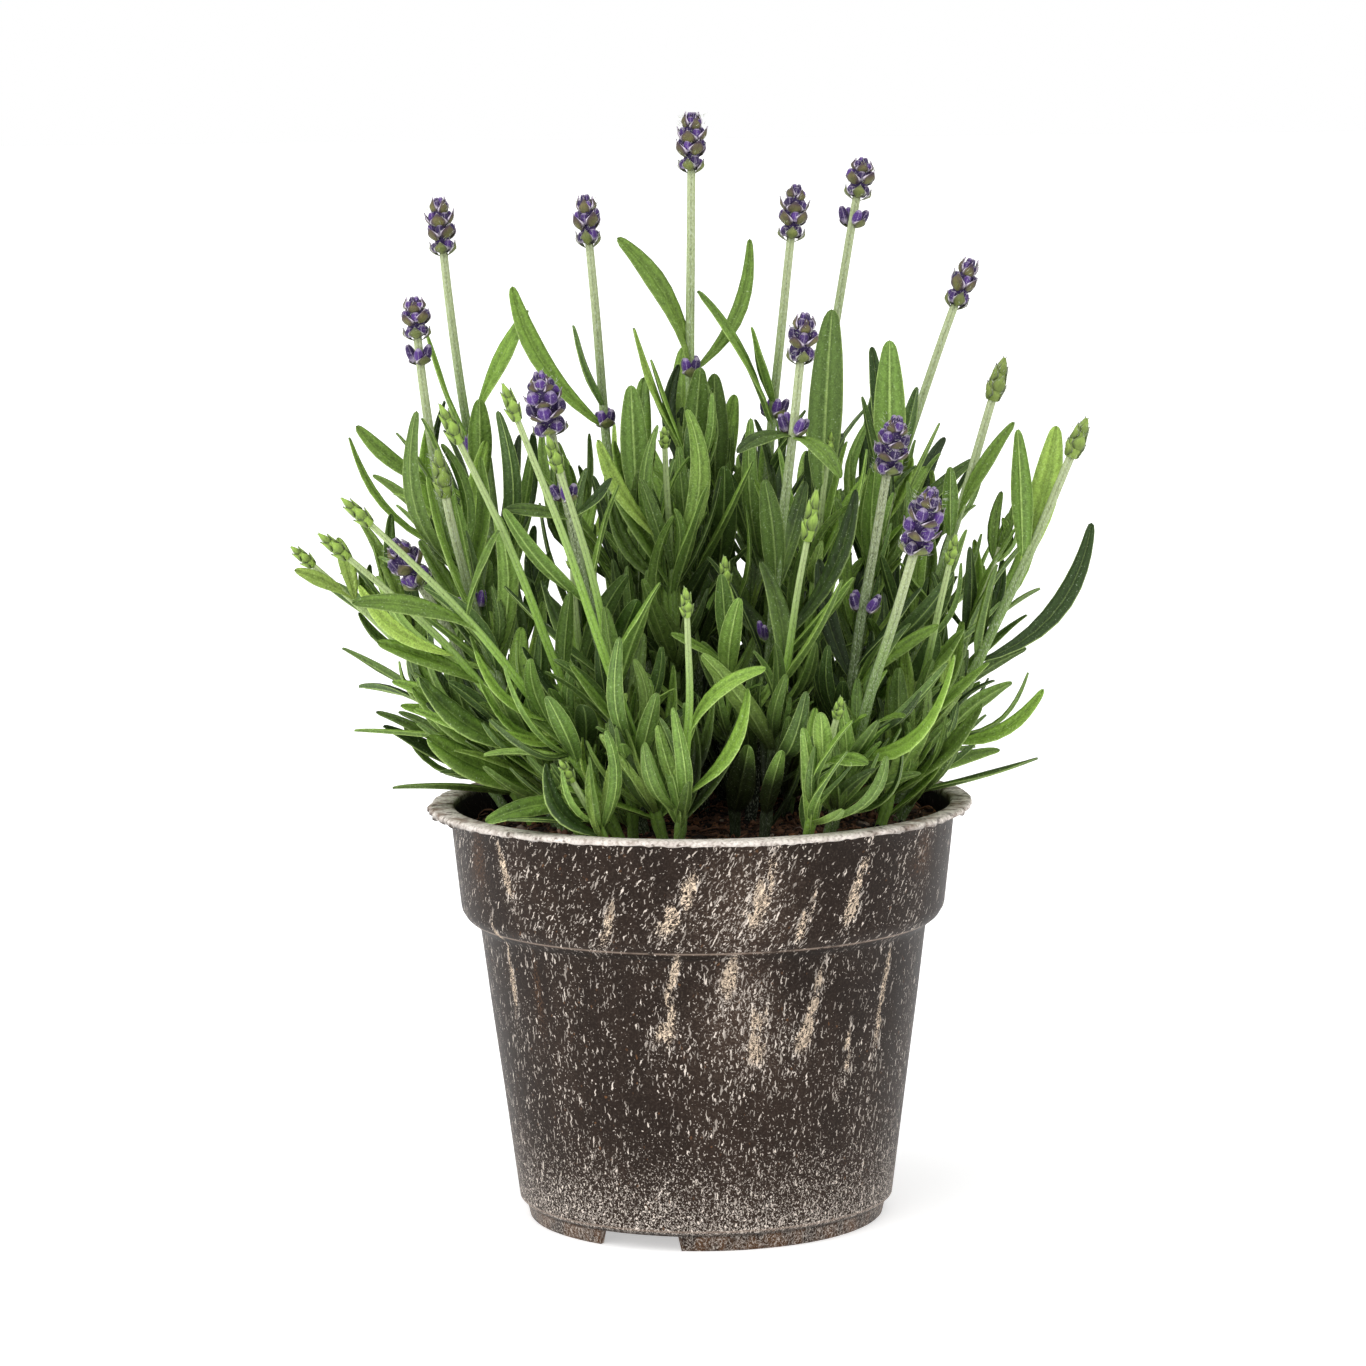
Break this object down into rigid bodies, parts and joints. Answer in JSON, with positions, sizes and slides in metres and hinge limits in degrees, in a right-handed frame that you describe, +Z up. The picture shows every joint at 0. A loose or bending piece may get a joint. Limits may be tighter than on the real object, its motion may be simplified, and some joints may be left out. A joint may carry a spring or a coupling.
{
  "type": "potted lavender",
  "caption": "Young English lavender in a tapered round nursery pot: leafy stems with narrow opposite leaves stand in the soil and end in violet flower heads or green buds.",
  "frame": {"origin": "on the ground under the centre of the pot's foot ring", "axes": "+Z up along the pot's axis; -Y is the front that the picture shows, +X its right"},
  "size_m": [0.1925, 0.142, 0.2657],
  "materials": {
    "pot": "satin dark brown moulded plastic filled with pale plant fibres",
    "soil": "loose dark peat and bark crumbs",
    "foliage": "soft matte green leaf and stalk, finely felted, paler below",
    "flower": "felted violet flower cups between olive bracts"
  },
  "bodies": {
    "root": {"pot": "pot", "soil": "soil", "flowering_01_stem": "foliage", "flowering_02_stem": "foliage", "flowering_03_stem": "foliage", "flowering_04_stem": "foliage", "flowering_05_stem": "foliage", "flowering_06_stem": "foliage", "flowering_07_stem": "foliage", "flowering_08_stem": "foliage", "flowering_09_stem": "foliage", "flowering_10_stem": "foliage", "flowering_11_stem": "foliage", "flowering_12_stem": "foliage", "flowering_13_stem": "foliage", "flowering_14_stem": "foliage", "flowering_15_stem": "foliage", "budding_01_stem": "foliage", "budding_02_stem": "foliage", "budding_03_stem": "foliage", "budding_04_stem": "foliage", "budding_05_stem": "foliage", "budding_06_stem": "foliage", "budding_07_stem": "foliage", "budding_08_stem": "foliage", "budding_09_stem": "foliage", "budding_10_stem": "foliage", "budding_11_stem": "foliage", "budding_12_stem": "foliage", "budding_13_stem": "foliage", "budding_14_stem": "foliage", "budding_15_stem": "foliage", "leafy_01_stem": "foliage", "leafy_02_stem": "foliage", "leafy_03_stem": "foliage", "leafy_04_stem": "foliage", "leafy_05_stem": "foliage", "leafy_06_stem": "foliage", "leafy_07_stem": "foliage", "leafy_08_stem": "foliage", "leafy_09_stem": "foliage", "leafy_10_stem": "foliage", "leafy_11_stem": "foliage", "flower_head_01": "flower", "flower_head_02": "flower", "flower_head_03": "flower", "flower_head_04": "flower", "flower_head_05": "flower", "flower_head_06": "flower", "flower_head_07": "flower", "flower_head_08": "flower", "flower_head_09": "flower", "flower_head_10": "flower", "flower_head_11": "flower", "flower_head_12": "flower", "flower_head_13": "flower", "flower_head_14": "flower", "flower_head_15": "flower"}
  },
  "joints": []
}
